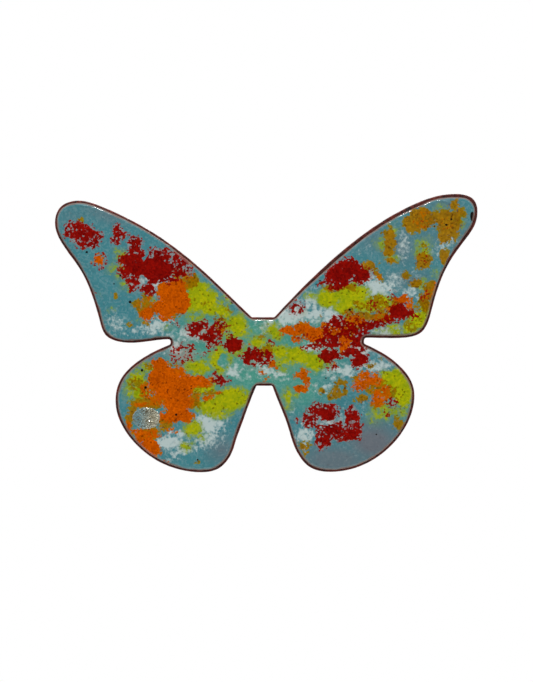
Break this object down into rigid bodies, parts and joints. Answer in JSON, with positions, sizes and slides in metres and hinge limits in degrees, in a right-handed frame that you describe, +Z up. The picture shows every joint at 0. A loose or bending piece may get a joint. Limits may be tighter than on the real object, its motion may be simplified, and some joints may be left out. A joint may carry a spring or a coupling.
{
  "type": "brooch",
  "caption": "Butterfly brooch of domed copper with speckled glass enamel, backed by a bar pin with a hinged stem and a rotating locking catch.",
  "frame": {"origin": "axis of the pin stem, on the butterfly's centre line, as worn upright", "axes": "+X along the stem towards its point, +Z up as worn, enamel face towards -Y, wearer towards +Y"},
  "size_m": [0.0603, 0.009, 0.0397],
  "materials": {
    "oxidised_copper": "oxidised copper, satin",
    "turquoise_enamel": "glossy fused glass",
    "white_glass": "glossy fused glass grains",
    "lime_glass": "glossy fused glass grains",
    "amber_glass": "glossy fused glass grains",
    "orange_glass": "glossy fused glass grains",
    "red_glass": "glossy fused glass grains",
    "silver_foil": "crumpled silver foil under clear glass",
    "counter_enamel": "dark mottled glass",
    "epoxy": "clear cured adhesive",
    "nickel_plate": "nickel plated, lightly brushed",
    "pin_steel": "drawn and polished wire"
  },
  "bodies": {
    "brooch": {"copper_blank": "oxidised_copper", "ground_enamel": "turquoise_enamel", "white_frit": "white_glass", "lime_frit": "lime_glass", "amber_frit": "amber_glass", "orange_frit": "orange_glass", "red_frit": "red_glass", "foil_paillon": "silver_foil", "counter_enamel": "counter_enamel", "adhesive_bed": "epoxy", "pin_bar": "nickel_plate", "joint_bracket": "nickel_plate", "hinge_rivet": "nickel_plate", "catch_housing": "nickel_plate"},
    "pin_stem": {"pin_stem": "pin_steel"},
    "lock_sleeve": {"lock_sleeve": "nickel_plate"}
  },
  "joints": [
    {"name": "stem_hinge", "type": "hinge", "parent": "brooch", "child": "pin_stem", "pos_m": [-0.0102, 0, 0], "axis": [0, 0, 1], "range_deg": [0, 95]},
    {"name": "lock_turn", "type": "hinge", "parent": "brooch", "child": "lock_sleeve", "pos_m": [0.0096, 0, 0], "axis": [1, 0, 0], "range_deg": [0, 95]}
  ]
}
